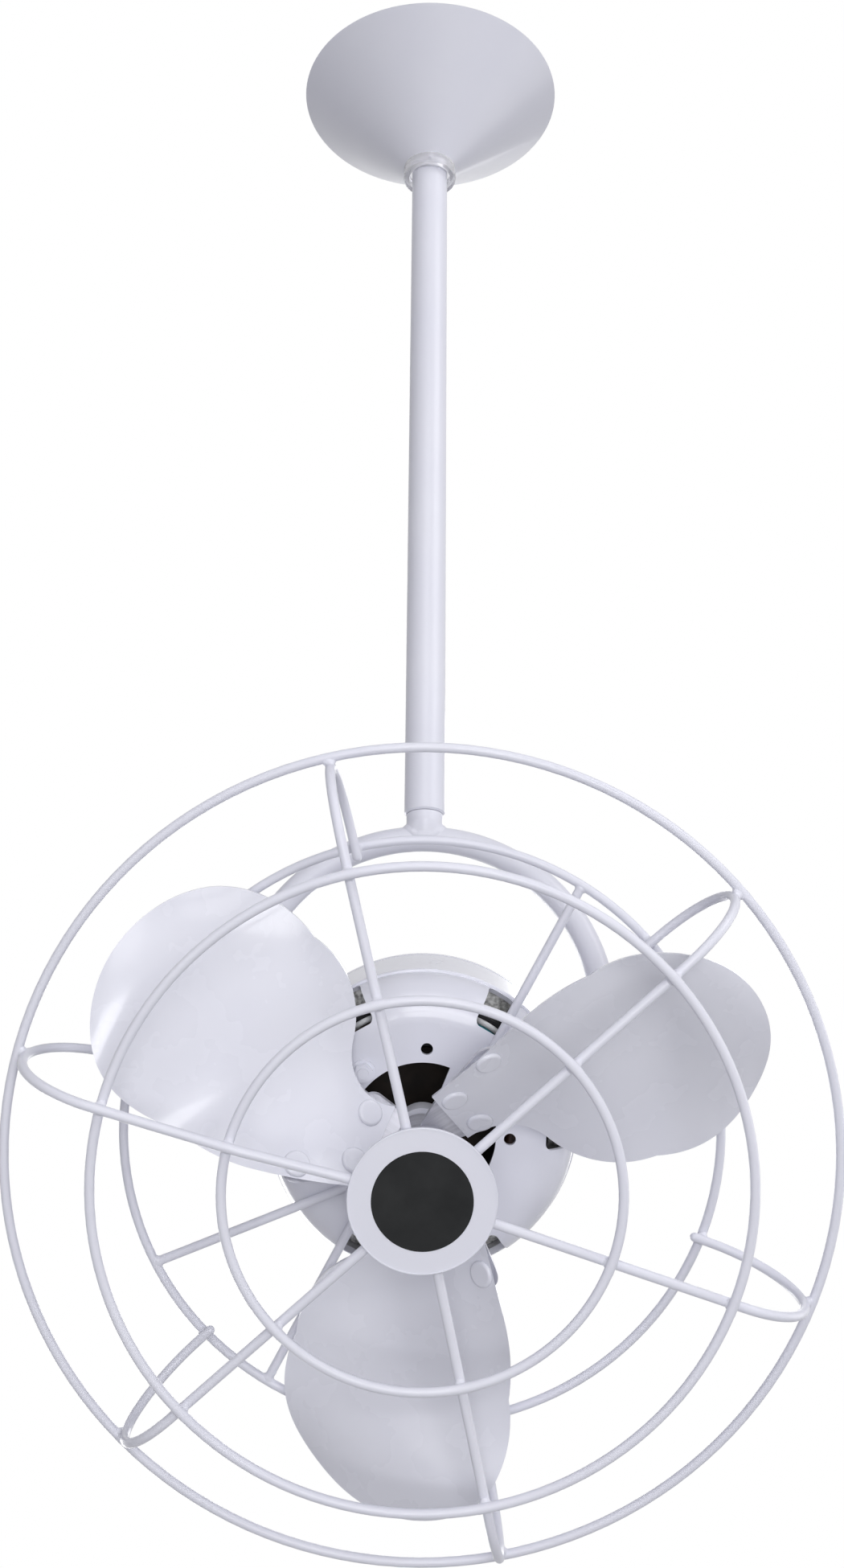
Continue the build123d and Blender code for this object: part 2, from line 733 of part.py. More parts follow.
with BuildPart() as rear_bearing:
    with BuildSketch(head_plane.offset(rear_bearing_back)):
        Circle(bearing_radius)
        Circle(shaft_radius + bore_gap, mode=Mode.SUBTRACT)
    extrude(amount=bearing_width)
hand_over(rear_bearing, "rear_bearing")

# Cage rings and ribs. The rear leg of each rib lies on the front of the rear
# ring, and the other rings lie on the front of the ribs. One rib lies over the
# front rings instead, and bends back to the centre plate.
lap = wire + face_gap
slope = radians(rib_slope)
rib_rear = ring_rear_ahead + lap
bend_end = rib_bend_centre + rib_bend_radius * sin(slope)


def rib_ahead(radius):
    # Height of an under rib's front leg at this distance from the fan's axis
    return rib_rear + rib_bend_radius * (1 + cos(slope)) + (bend_end - radius) * tan(slope)


ring_step = lap / cos(slope)
ring_middle_radius = rib_bend_centre + rib_bend_radius + lap
ring_middle_ahead = rib_rear + rib_bend_radius
ring_front_ahead = rib_ahead(ring_front_radius) + ring_step
ring_small_ahead = rib_ahead(ring_small_radius) + ring_step
ring_places = (
    ("small", ring_small_radius, ring_small_ahead),
    ("front", ring_front_radius, ring_front_ahead),
    ("middle", ring_middle_radius, ring_middle_ahead),
    ("rear", ring_rear_radius, ring_rear_ahead),
)
for ring_name, ring_radius, ring_ahead in ring_places:
    with BuildPart() as cage_ring:
        with BuildSketch(head_profile):
            with Locations((ring_radius, ring_ahead)):
                Circle(wire / 2)
        revolve(axis=fan_axis)
    hand_over(cage_ring, f"cage_ring_{ring_name}")

under_number = 0
for number, rib_angle in enumerate(rib_angles):
    if number == over_rib:
        continue
    under_number = under_number + 1
    with BuildPart() as cage_rib:
        with BuildLine(radial_plane(rib_angle)) as rib_line:
            rear_leg = Line((rib_rear_end, rib_rear), (rib_bend_centre, rib_rear))
            hairpin = CenterArc((rib_bend_centre, ring_middle_ahead), rib_bend_radius, -90, 180 - rib_slope)
            front_leg = Line(hairpin @ 1, (rib_front_end, rib_ahead(rib_front_end)))
        with BuildSketch(Plane(origin=rear_leg @ 0, z_dir=rear_leg % 0)):
            Circle(wire / 2)
        sweep(path=rib_line.wire())
    hand_over(cage_rib, f"cage_rib_{under_number}")

# The over rib: a wider bend from the same rear leg brings it in front of the rings
over_rise = rib_ahead(ring_front_radius) + 2 * ring_step - rib_rear
bend_reach = rib_bend_centre + rib_bend_radius
over_bend = over_rise - (bend_reach - ring_front_radius) * tan(slope)
over_bend = over_bend / (1 + cos(slope) - (1 - sin(slope)) * tan(slope))
over_centre = bend_reach - over_bend
plate_front = rib_ahead(plate_radius) - wire / 2 / cos(slope) - face_gap
over_turn_radius = ring_small_radius - over_bend_back
over_turn_ahead = rib_ahead(over_turn_radius) + 2 * ring_step
over_end_ahead = plate_front + wire / 2 + face_gap + over_end_gap
with BuildPart() as cage_rib_over:
    with BuildLine(radial_plane(rib_angles[over_rib])) as over_line:
        over_rear_leg = Line((rib_rear_end, rib_rear), (over_centre, rib_rear))
        over_hairpin = CenterArc((over_centre, rib_rear + over_bend), over_bend, -90, 180 - rib_slope)
        over_front = FilletPolyline(
            over_hairpin @ 1,
            (over_turn_radius, over_turn_ahead),
            (rib_front_end, over_end_ahead),
            radius=over_turn,
        )
    with BuildSketch(Plane(origin=over_rear_leg @ 0, z_dir=over_rear_leg % 0)):
        Circle(wire / 2)
    sweep(path=over_line.wire())
hand_over(cage_rib_over, "cage_rib_over")

# Two V-shaped wires carry the rear ring. Each loops round a stud on the motor's
# face, and its ends are welded to the inside of the ring.
mount_ahead = shell_face + face_gap + wire / 2
loop_radius = face_bolt_radius + wire / 2 + running_gap
mount_end = ring_rear_radius - wire / 2 - mount_end_gap
spread = radians(mount_spread)
end_across = mount_end * sin(spread)
end_along = mount_end * cos(spread) - face_bolt_circle
end_distance = hypot(end_along, end_across)
leg_angle = atan(end_across / end_along) - atan(loop_radius / sqrt(end_distance**2 - loop_radius**2))
mount_names = ("cage_mount_upper", "cage_mount_lower")
for mount_name, mount_angle in zip(mount_names, (face_bolt_angle, face_bolt_angle + 180)):
    with BuildPart() as cage_mount:
        with BuildLine(turned_plane(mount_angle, mount_ahead)) as mount_line:
            loop_side = (
                face_bolt_circle - loop_radius * sin(leg_angle),
                loop_radius * cos(leg_angle),
            )
            first_leg = Line((mount_end * cos(spread), end_across), loop_side)
            ThreePointArc(
                loop_side,
                (face_bolt_circle - loop_radius, 0),
                (loop_side[0], -loop_side[1]),
            )
            Line((loop_side[0], -loop_side[1]), (mount_end * cos(spread), -end_across))
        with BuildSketch(Plane(origin=first_leg @ 0, z_dir=first_leg % 0)):
            Circle(wire / 2)
        sweep(path=mount_line.wire())
    hand_over(cage_mount, mount_name)

# Studs, washers and nuts on the motor's face. Two of them clamp the V wires.
wire_top = mount_ahead + wire / 2 + face_gap
washer_seats = (wire_top, shell_face + face_gap, wire_top, shell_face + face_gap)
stud_back = shell_face - shell_wall - face_boss_depth + face_stud_inset
with BuildPart() as face_studs:
    for number, seat in enumerate(washer_seats):
        stud_top = seat + face_washer_sheet + face_nut_height + face_bolt_end
        with BuildSketch(turned_plane(face_bolt_angle + 90 * number, stud_back)):
            with Locations((face_bolt_circle, 0)):
                Circle(face_bolt_radius)
        extrude(amount=stud_top - stud_back)
    chamfer(face_studs.faces().sort_by(fan_axis)[-2:].edges(), face_stud_chamfer)
hand_over(face_studs, "face_studs")

with BuildPart() as face_washers:
    for number, seat in enumerate(washer_seats):
        with BuildSketch(turned_plane(face_bolt_angle + 90 * number, seat)):
            with Locations((face_bolt_circle, 0)):
                Circle(face_washer_radius)
                Circle(face_bolt_radius + bore_gap, mode=Mode.SUBTRACT)
        extrude(amount=face_washer_sheet)
hand_over(face_washers, "face_washers")

with BuildPart() as face_nuts:
    for number, seat in enumerate(washer_seats):
        with BuildSketch(turned_plane(face_bolt_angle + 90 * number, seat + face_washer_sheet + face_gap)):
            with Locations((face_bolt_circle, 0)):
                RegularPolygon(face_nut_radius, 6)
                Circle(face_bolt_radius + bore_gap, mode=Mode.SUBTRACT)
        extrude(amount=face_nut_height)
hand_over(face_nuts, "face_nuts")

# Centre plate behind the ribs' ends, and the round cap screwed to it from behind
with BuildPart() as cage_centre_plate:
    with BuildSketch(head_plane.offset(plate_front)):
        Circle(plate_radius)
        Circle(cap_screw_radius + bore_gap, mode=Mode.SUBTRACT)
    extrude(amount=-plate_sheet)
hand_over(cage_centre_plate, "cage_centre_plate")

over_fall = (over_turn_ahead - over_end_ahead) / (over_turn_radius - rib_front_end)
cap_back = over_end_ahead + (cap_radius - rib_front_end) * over_fall + wire / 2 + cap_gap
cap_face = cap_back + cap_sheet
with BuildPart() as cage_cap:
    with BuildSketch(head_profile):
        with BuildLine():
            Polyline(
                (0, cap_face - inlay_recess),
                (inlay_radius + face_gap, cap_face - inlay_recess),
                (inlay_radius + face_gap, cap_face),
                (cap_radius - cap_rim_width, cap_face),
                (cap_radius - cap_rim_width, cap_face + cap_rim),
                (cap_radius, cap_face + cap_rim),
                (cap_radius, cap_back),
                (cap_boss_radius, cap_back),
                (cap_boss_radius, plate_front + face_gap),
                (cap_screw_radius + bore_gap, plate_front + face_gap),
                (cap_screw_radius + bore_gap, cap_back - cap_screw_room),
                (0, cap_back - cap_screw_room),
                close=True,
            )
        make_face()
    revolve(axis=fan_axis)
    fillet(
        cage_cap.edges()
        .filter_by(GeomType.CIRCLE)
        .filter_by(lambda e: abs(e.radius - cap_radius) < 0.01)
        .sort_by(fan_axis)[-1],
        cap_rim_round,
    )
hand_over(cage_cap, "cage_cap")

with BuildPart() as cap_inlay:
    with BuildSketch(head_plane.offset(cap_face - inlay_recess + face_gap)):
        Circle(inlay_radius)
    extrude(amount=inlay_sheet)
hand_over(cap_inlay, "cap_inlay")

plate_back = plate_front - plate_sheet
with BuildPart() as cap_screw:
    with BuildSketch(head_plane.offset(plate_back - face_gap)):
        Circle(cap_screw_radius)
    extrude(amount=cap_back - 2 * cap_screw_room - plate_back)
    with BuildSketch(head_plane.offset(plate_back - face_gap)):
        Circle(cap_screw_head)
    extrude(amount=-cap_screw_head_height)
hand_over(cap_screw, "cap_screw")

# Rotor core and shaft
with BuildPart() as rotor_core:
    with BuildSketch(head_plane.offset(core_back)):
        Circle(stator_bore_radius - rotor_gap)
        Circle(shaft_radius + bore_gap, mode=Mode.SUBTRACT)
    extrude(amount=core_front - core_back)
hand_over(rotor_core, "rotor_core")

shaft_front = hub_front + hub_nut_height + shaft_end
rear_shaft_end = rear_bearing_back + running_gap
with BuildPart() as motor_shaft:
    with BuildSketch(head_plane.offset(rear_shaft_end)):
        Circle(shaft_radius)
    extrude(amount=shaft_front - rear_shaft_end)
    chamfer(motor_shaft.edges().filter_by(GeomType.CIRCLE), shaft_chamfer)
hand_over(motor_shaft, "motor_shaft")


def sheet_section(place, back, thickness):
    # Outline of the twisted sheet at one section: two arcs, one sheet apart
    pitch = radians(section_pitch[place])
    low, high = section_reach[place]
    half = thickness / 2 / cos(pitch)
    middle = section_ahead[place] - back / cos(pitch)
    spoke = radial_plane(blade_angle)
    origin = spoke.origin + spoke.x_dir * section_radius[place]
    across = (low, (low + high) / 2, high)
    heights = [middle + tan(pitch) * y + section_camber[place] * y**2 for y in across]
    under = [(y, height - half) for y, height in zip(across, heights)]
    over = [(y, height + half) for y, height in zip(across, heights)]
    with BuildSketch(Plane(origin=origin, x_dir=-spoke.z_dir, z_dir=spoke.x_dir)) as outline:
        with BuildLine():
            ThreePointArc(under[0], under[1], under[2])
            Line(under[2], over[2])
            ThreePointArc(over[2], over[1], over[0])
            Line(over[0], under[0])
        make_face()
    return outline.sketch


def seats_along(piece, axis):
    # Where an axis meets a piece, from the back of the head to its front
    hits = piece.find_intersection_points(axis)
    return sorted(hits, key=lambda hit: (hit[0] - head_plane.origin).dot(head_plane.z_dir))


# Blade blank: the twisted sheet, cut to its paddle outline
blade_plane = turned_plane(blade_angle, 0)
lead_join = (
    paddle_centre[0] + paddle_radius * cos(radians(lead_angle)),
    paddle_centre[1] + paddle_radius * sin(radians(lead_angle)),
)
trail_join = (
    paddle_centre[0] + paddle_radius * cos(radians(trail_angle)),
    paddle_centre[1] + paddle_radius * sin(radians(trail_angle)),
)
with BuildPart() as blade_blank:
    loft([sheet_section(place, 0, blade_sheet) for place in range(len(section_radius))])
    with BuildSketch(blade_plane):
        with BuildLine():
            Line((blade_root, root_trail), (blade_root, root_lead))
            Line((blade_root, root_lead), lead_bend)
            TangentArc(lead_bend, lead_join, tangent=(lead_bend[0] - blade_root, lead_bend[1] - root_lead))
            CenterArc(paddle_centre, paddle_radius, lead_angle, trail_angle - lead_angle)
            ThreePointArc(trail_join, trail_middle, trail_bend)
            ThreePointArc(trail_bend, trail_throat, (blade_root, root_trail))
        make_face()
    extrude(amount=cap_back, mode=Mode.INTERSECT)

# Hub: a barrel on the shaft, with three arms that lie behind the blades' roots
with BuildPart() as arm_blank:
    arm_back = (blade_sheet + arm_sheet) / 2 + face_gap
    loft([sheet_section(place, arm_back, arm_sheet) for place in range(len(section_radius))])
    with BuildSketch(blade_plane):
        with Locations(*rivet_places):
            Circle(arm_margin)
        with Locations((arm_root, arm_root_lead)):
            Circle(arm_root_margin)
        make_hull()
    extrude(amount=cap_back, mode=Mode.INTERSECT)

# The rivets' places on the sheet, square to it
rivet_seats = []
for along, across in rivet_places:
    start = blade_plane.from_local_coords(Vector(along, across, 0))
    point, normal = seats_along(blade_blank.part, Axis(start, head_plane.z_dir))[-1]
    if normal.dot(head_plane.z_dir) < 0:
        normal = -normal
    back_point = seats_along(arm_blank.part, Axis(point, normal))[0][0]
    rivet_seats.append((Plane(origin=point, z_dir=normal), (point - back_point).length))

with BuildPart() as blade_form:
    add(blade_blank.part)
    for seat, grip in rivet_seats:
        with BuildSketch(seat):
            Circle(rivet_radius + bore_gap)
        extrude(amount=2 * blade_sheet, both=True, mode=Mode.SUBTRACT)
        with BuildSketch(seat):
            Circle(rivet_head_radius + face_gap)
        extrude(amount=2 * blade_sheet, mode=Mode.SUBTRACT)

with BuildPart() as arm_form:
    add(arm_blank.part)
    for seat, grip in rivet_seats:
        with BuildSketch(seat):
            Circle(rivet_radius + bore_gap)
        extrude(amount=-2 * grip, mode=Mode.SUBTRACT)
        with BuildSketch(seat.offset(-grip)):
            Circle(rivet_tail_radius + face_gap)
        extrude(amount=-2 * blade_sheet, mode=Mode.SUBTRACT)

with BuildPart() as rivet_form:
    for seat, grip in rivet_seats:
        with BuildSketch(seat.offset(face_gap)):
            Circle(rivet_head_radius)
        extrude(amount=rivet_head_height)
        top = rivet_form.faces(Select.LAST).sort_by(Axis(seat.origin, seat.z_dir))[-1]
        fillet(top.edges(), rivet_head_height - 2 * face_gap)
        with BuildSketch(seat.offset(face_gap)):
            Circle(rivet_radius)
        extrude(amount=-2 * face_gap - grip)
        with BuildSketch(seat.offset(-grip - face_gap)):
            Circle(rivet_tail_radius)
        extrude(amount=-rivet_tail_height)

for number in range(blade_count):
    turn = number * 360 / blade_count
    with BuildPart() as blade:
        add(blade_form.part.rotate(fan_axis, turn))
    hand_over(blade, f"blade_{number + 1}")

with BuildPart() as blade_hub:
    with BuildSketch(head_plane.offset(hub_back)):
        Circle(hub_radius)
    extrude(amount=hub_front - hub_back)
    chamfer(blade_hub.edges().filter_by(GeomType.CIRCLE), hub_chamfer)
    for number in range(blade_count):
        add(arm_form.part.rotate(fan_axis, number * 360 / blade_count))
    with BuildSketch(head_plane):
        Circle(shaft_radius + bore_gap)
    extrude(amount=cap_back, mode=Mode.SUBTRACT)
hand_over(blade_hub, "blade_hub")

with BuildPart() as blade_rivets:
    for number in range(blade_count):
        add(rivet_form.part.rotate(fan_axis, number * 360 / blade_count))
hand_over(blade_rivets, "blade_rivets")

with BuildPart() as hub_nut:
    with BuildSketch(head_plane.offset(hub_front + face_gap)):
        RegularPolygon(hub_nut_radius, 6)
        Circle(shaft_radius + bore_gap, mode=Mode.SUBTRACT)
    extrude(amount=hub_nut_height)
hand_over(hub_nut, "hub_nut")
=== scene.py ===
import json
import math

import bmesh
import bpy
from mathutils import Matrix, Vector


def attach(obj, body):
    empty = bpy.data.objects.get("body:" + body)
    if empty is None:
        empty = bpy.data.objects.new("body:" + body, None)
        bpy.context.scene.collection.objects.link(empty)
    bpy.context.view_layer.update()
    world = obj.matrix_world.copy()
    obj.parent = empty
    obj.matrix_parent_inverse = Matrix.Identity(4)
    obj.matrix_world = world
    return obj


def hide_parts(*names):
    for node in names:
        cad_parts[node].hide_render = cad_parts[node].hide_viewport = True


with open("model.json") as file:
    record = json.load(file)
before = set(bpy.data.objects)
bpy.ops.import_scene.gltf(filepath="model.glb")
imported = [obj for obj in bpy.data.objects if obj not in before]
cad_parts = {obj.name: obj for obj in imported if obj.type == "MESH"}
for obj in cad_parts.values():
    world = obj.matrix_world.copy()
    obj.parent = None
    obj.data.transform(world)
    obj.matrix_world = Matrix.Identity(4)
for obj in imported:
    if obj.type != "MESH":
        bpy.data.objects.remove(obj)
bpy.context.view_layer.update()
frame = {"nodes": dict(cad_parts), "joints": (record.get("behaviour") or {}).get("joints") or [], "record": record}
nodes = frame["nodes"]

# The head's own directions: the fan's axis points ahead and down from the tilt axis
joints = {joint["name"]: joint for joint in frame["joints"]}
pivot = Vector(joints["head_tilt"]["pos_m"])
right_axis = Vector(joints["head_tilt"]["axis"])
ahead_axis = Vector(joints["rotor_spin"]["axis"])
up_axis = ahead_axis.cross(right_axis)
head_tilt = math.asin(-ahead_axis.z)

# Sizes of the solids that the scene's own pieces follow. Lengths are in millimetres, and the
# angles of the ribs and mounts in degrees. Ahead is along the fan's axis from the tilt axis.
mm = 0.001
face_gap = 0.05  # between two faces or wires that are pressed or welded together
wire = 4.3
ring_small_radius = 83.5
ring_front_radius = 138.5
ring_rear_radius = 138.5
ring_rear_ahead = 48.0
rib_bend_radius = 36.5
rib_bend_centre = 143.2
rib_slope = math.radians(3.2)
rib_angles = (41.9, 103.2, 164.5, 223.2, 281.7, 340.3)
over_rib = rib_angles[2]
mount_angles = (42.5, 222.5)
mount_spread = 16.1

yoke_leg = 48.8
yoke_bow_radius = 90.8
yoke_tube_radius = 6.6
neck_radius = 9.5
neck_flare = 2.4
neck_foot_rise = 1.5
neck_foot_side = 0.4

core_front = 18.0
core_back = -6.0
winding_inner = 39.7
winding_outer = 58.3

# Camera, at the photograph's place and angle
photo_height = 1950
focal_pixels = 2121
sensor_height = 36
camera_place = (-0.0023, -0.8385, -0.7881)
pitch = math.radians(21.397)
yaw = math.radians(0.054)
roll = math.radians(0.50)

look = Vector((math.sin(yaw) * math.cos(pitch), math.cos(yaw) * math.cos(pitch), math.sin(pitch)))
level_right = Vector((math.cos(yaw), -math.sin(yaw), 0))
level_up = level_right.cross(look)
view_right = level_right * math.cos(roll) + level_up * math.sin(roll)
view_up = level_up * math.cos(roll) - level_right * math.sin(roll)
view_turn = Matrix((view_right, view_up, -look)).transposed().to_4x4()

camera_data = bpy.data.cameras.new("camera")
camera_data.sensor_fit = "VERTICAL"
camera_data.sensor_height = sensor_height
camera_data.lens = focal_pixels / photo_height * sensor_height
camera = bpy.data.objects.new("camera", camera_data)
camera.matrix_world = Matrix.Translation(camera_place) @ view_turn
bpy.context.scene.collection.objects.link(camera)
bpy.context.scene.camera = camera


# Helpers for materials
def shader_of(name):
    material = bpy.data.materials.new(name)
    material.use_nodes = True
    tree = material.node_tree
    return material, tree, tree.nodes["Principled BSDF"]


def worked_out(tree, kind, operation, *values):
    # A maths node. Each value is a fixed one or another node's result.
    node = tree.nodes.new(kind)
    node.operation = operation
    for socket, value in zip(node.inputs, values):
        if isinstance(value, bpy.types.NodeSocket):
            tree.links.new(value, socket)
        else:
            socket.default_value = value
    return node


def place_of(tree, along_fan=False):
    # Object coordinates, in metres. Along the fan, z runs down the fan's axis from the tilt axis.
    texture = tree.nodes.new("ShaderNodeTexCoord")
    if not along_fan:
        return texture.outputs["Object"]
    shift = worked_out(tree, "ShaderNodeVectorMath", "SUBTRACT", texture.outputs["Object"], pivot)
    mapping = tree.nodes.new("ShaderNodeMapping")
    mapping.vector_type = "POINT"
    mapping.inputs["Rotation"].default_value = (-(math.pi / 2 + head_tilt), 0, 0)
    tree.links.new(shift.outputs["Vector"], mapping.inputs["Vector"])
    return mapping.outputs["Vector"]


def noise(tree, place, scale, detail, stretch=None):
    node = tree.nodes.new("ShaderNodeTexNoise")
    node.inputs["Scale"].default_value = scale
    node.inputs["Detail"].default_value = detail
    if stretch:
        mapping = tree.nodes.new("ShaderNodeMapping")
        mapping.inputs["Scale"].default_value = stretch
        tree.links.new(place, mapping.inputs["Vector"])
        place = mapping.outputs["Vector"]
    tree.links.new(place, node.inputs["Vector"])
    return node.outputs["Fac"]


def spread(tree, value, low, high, from_low=0.3, from_high=0.7):
    # Spreads a value over a range. A noise lies mostly between 0.3 and 0.7.
    node = tree.nodes.new("ShaderNodeMapRange")
    node.inputs["From Min"].default_value = from_low
    node.inputs["From Max"].default_value = from_high
    node.inputs["To Min"].default_value = low
    node.inputs["To Max"].default_value = high
    tree.links.new(value, node.inputs["Value"])
    return node.outputs["Result"]


def blend_colours(tree, value, first, second, from_low=0.3, from_high=0.7):
    # Each colour is three numbers or another node's result
    node = tree.nodes.new("ShaderNodeMix")
    node.data_type = "RGBA"
    tree.links.new(spread(tree, value, 0, 1, from_low, from_high), node.inputs["Factor"])
    for side, colour in (("A", first), ("B", second)):
        if isinstance(colour, bpy.types.NodeSocket):
            tree.links.new(colour, node.inputs[side])
        else:
            node.inputs[side].default_value = (*colour, 1)
    return node.outputs["Result"]


def bump(tree, shader, height, depth):
    node = tree.nodes.new("ShaderNodeBump")
    node.inputs["Distance"].default_value = depth
    node.inputs["Strength"].default_value = 1.0
    tree.links.new(height, node.inputs["Height"])
    tree.links.new(node.outputs["Normal"], shader.inputs["Normal"])
    return node


# Materials
def paint(name, tone, other_tone, rough, grain, depth, swell, coat, mirror):
    # Gloss stove enamel: a little uneven in tone and gloss, with a fine orange peel on a
    # faint slow swell of the metal under it
    material, tree, shader = shader_of(name)
    place = place_of(tree)
    tones = noise(tree, place, scale=14, detail=3)
    tree.links.new(blend_colours(tree, tones, tone, other_tone), shader.inputs["Base Color"])
    gloss = noise(tree, place, scale=45, detail=3)
    tree.links.new(spread(tree, gloss, *rough), shader.inputs["Roughness"])
    shader.inputs["Coat Weight"].default_value = coat
    shader.inputs["Coat Roughness"].default_value = 0.10
    shader.inputs["Specular IOR Level"].default_value = mirror
    slow = tree.nodes.new("ShaderNodeBump")
    slow.inputs["Distance"].default_value = swell
    tree.links.new(noise(tree, place, scale=16, detail=1), slow.inputs["Height"])
    fine = bump(tree, shader, noise(tree, place, scale=grain, detail=2), depth)
    tree.links.new(slow.outputs["Normal"], fine.inputs["Normal"])
    return material


def metal(name, tone, other_tone, rough, scale=120, stretch=None, along_fan=False,
          depth=0.00001, metallic=1.0):
    material, tree, shader = shader_of(name)
    grain = noise(tree, place_of(tree, along_fan), scale, detail=4, stretch=stretch)
    tree.links.new(blend_colours(tree, grain, tone, other_tone), shader.inputs["Base Color"])
    tree.links.new(spread(tree, grain, *rough), shader.inputs["Roughness"])
    shader.inputs["Metallic"].default_value = metallic
    bump(tree, shader, grain, depth)
    return material


def plastic(name, tone, other_tone, rough, depth=0.00002, mirror=0.5):
    material, tree, shader = shader_of(name)
    place = place_of(tree)
    tones = noise(tree, place, scale=60, detail=3)
    tree.links.new(blend_colours(tree, tones, tone, other_tone), shader.inputs["Base Color"])
    gloss = noise(tree, place, scale=300, detail=2)
    tree.links.new(spread(tree, gloss, *rough), shader.inputs["Roughness"])
    shader.inputs["Specular IOR Level"].default_value = mirror
    bump(tree, shader, noise(tree, place, scale=1400, detail=2), depth)
    return material


def clear(name, tone, other_tone, rough):
    material = plastic(name, tone, other_tone, rough)
    shader = material.node_tree.nodes["Principled BSDF"]
    shader.inputs["Transmission Weight"].default_value = 0.75
    shader.inputs["IOR"].default_value = 1.47
    return material


def laminated_steel(name, sheet_pitch, varnish_and_shade_edge):
    # Thin sheets stacked along the fan's axis: mottled bare steel at the rim, and black inside it,
    # which is varnish together with painted shade for the shadowed front face of the core
    material, tree, shader = shader_of(name)
    place = place_of(tree, along_fan=True)
    sheets = tree.nodes.new("ShaderNodeTexWave")
    sheets.wave_type = "BANDS"
    sheets.bands_direction = "Z"
    band_at_scale_1 = 0.314
    sheets.inputs["Scale"].default_value = band_at_scale_1 / sheet_pitch
    sheets.inputs["Distortion"].default_value = 0.6
    tree.links.new(place, sheets.inputs["Vector"])
    mottle = noise(tree, place, scale=500, detail=3)
    steel = blend_colours(tree, mottle, (0.26, 0.26, 0.25), (0.72, 0.72, 0.70), 0.35, 0.65)
    across = worked_out(tree, "ShaderNodeVectorMath", "MULTIPLY", place, (1, 1, 0))
    radius = worked_out(tree, "ShaderNodeVectorMath", "LENGTH", across.outputs["Vector"])
    # Black inside the radius given: painted shade over the core's shadowed front face, with its varnish
    colour = blend_colours(tree, radius.outputs["Value"], (0.012, 0.012, 0.013), steel, *varnish_and_shade_edge)
    tree.links.new(colour, shader.inputs["Base Color"])
    gloss = noise(tree, place, scale=200, detail=3)
    tree.links.new(spread(tree, gloss, 0.3, 0.5), shader.inputs["Roughness"])
    shader.inputs["Metallic"].default_value = 0.9
    bump(tree, shader, sheets.outputs["Fac"], 0.0001)
    return material


def enamelled_wire(name, tone, other_tone):
    material, tree, shader = shader_of(name)
    place = place_of(tree, along_fan=True)
    strands = noise(tree, place, scale=300, detail=3, stretch=(1, 1, 8))
    tree.links.new(blend_colours(tree, strands, tone, other_tone), shader.inputs["Base Color"])
    tree.links.new(spread(tree, strands, 0.25, 0.45), shader.inputs["Roughness"])
    shader.inputs["Coat Weight"].default_value = 0.15
    bump(tree, shader, strands, 0.0002)
    return material


white_paint = paint("white_paint", (0.745, 0.75, 0.83), (0.775, 0.78, 0.85), rough=(0.30, 0.38),
                    grain=220, depth=0.000002, swell=0.0002, coat=0.15, mirror=0.25)
blade_paint = paint("blade_paint", (0.73, 0.735, 0.81), (0.77, 0.775, 0.84), rough=(0.20, 0.32),
                    grain=300, depth=0.000006, swell=0.0009, coat=0.35, mirror=0.35)
cast_paint = paint("cast_paint", (0.735, 0.74, 0.82), (0.765, 0.77, 0.84), rough=(0.18, 0.28),
                   grain=400, depth=0.00001, swell=0.0002, coat=0.3, mirror=0.25)
bright_steel = metal("bright_steel", (0.60, 0.60, 0.63), (0.72, 0.72, 0.75), rough=(0.22, 0.38))
zinc_steel = metal("zinc_steel", (0.55, 0.56, 0.60), (0.68, 0.68, 0.68), rough=(0.30, 0.48), scale=220)
chrome = metal("chrome", (0.78, 0.78, 0.82), (0.84, 0.84, 0.88), rough=(0.06, 0.12), scale=60)
turned_aluminium = metal("turned_aluminium", (0.44, 0.44, 0.49), (0.60, 0.60, 0.66), rough=(0.34, 0.48),
                         scale=60, stretch=(1, 1, 14), along_fan=True, depth=0.00002, metallic=0.4)
black_plastic = plastic("black_plastic", (0.016, 0.016, 0.018), (0.030, 0.030, 0.033),
                        rough=(0.45, 0.6), mirror=0.15)
white_plastic = plastic("white_plastic", (0.66, 0.66, 0.64), (0.72, 0.72, 0.70), rough=(0.4, 0.5))
black_enamel = plastic("black_enamel", (0.010, 0.011, 0.012), (0.020, 0.021, 0.022),
                       rough=(0.10, 0.20), depth=0.000004, mirror=0.22)
clear_plastic = clear("clear_plastic", (0.86, 0.86, 0.90), (0.92, 0.92, 0.94), rough=(0.12, 0.2))
# The black inside 61.2 mm is painted shade of the shadowed core face, with its varnish
laminations = laminated_steel("laminations", sheet_pitch=0.0008, varnish_and_shade_edge=(0.0612, 0.0618))
# Dark enamel on the coils, made near black by painted shade for the shadowed inside of the motor
winding_wire = enamelled_wire("copper", (0.020, 0.010, 0.007), (0.085, 0.035, 0.020))
# Near-black rotor core: painted shade for the shadowed inside of the motor
painted_shade_core = plastic("painted_shade_core", (0.006, 0.006, 0.006), (0.022, 0.016, 0.013),
                    rough=(0.45, 0.6), depth=0.00004, mirror=0.12)
lead_sleeve = plastic("lead_sleeve", (0.62, 0.63, 0.64), (0.72, 0.73, 0.74), rough=(0.35, 0.45))
tinted_sleeve = plastic("tinted_sleeve", (0.03, 0.22, 0.26), (0.05, 0.30, 0.34), rough=(0.35, 0.45))

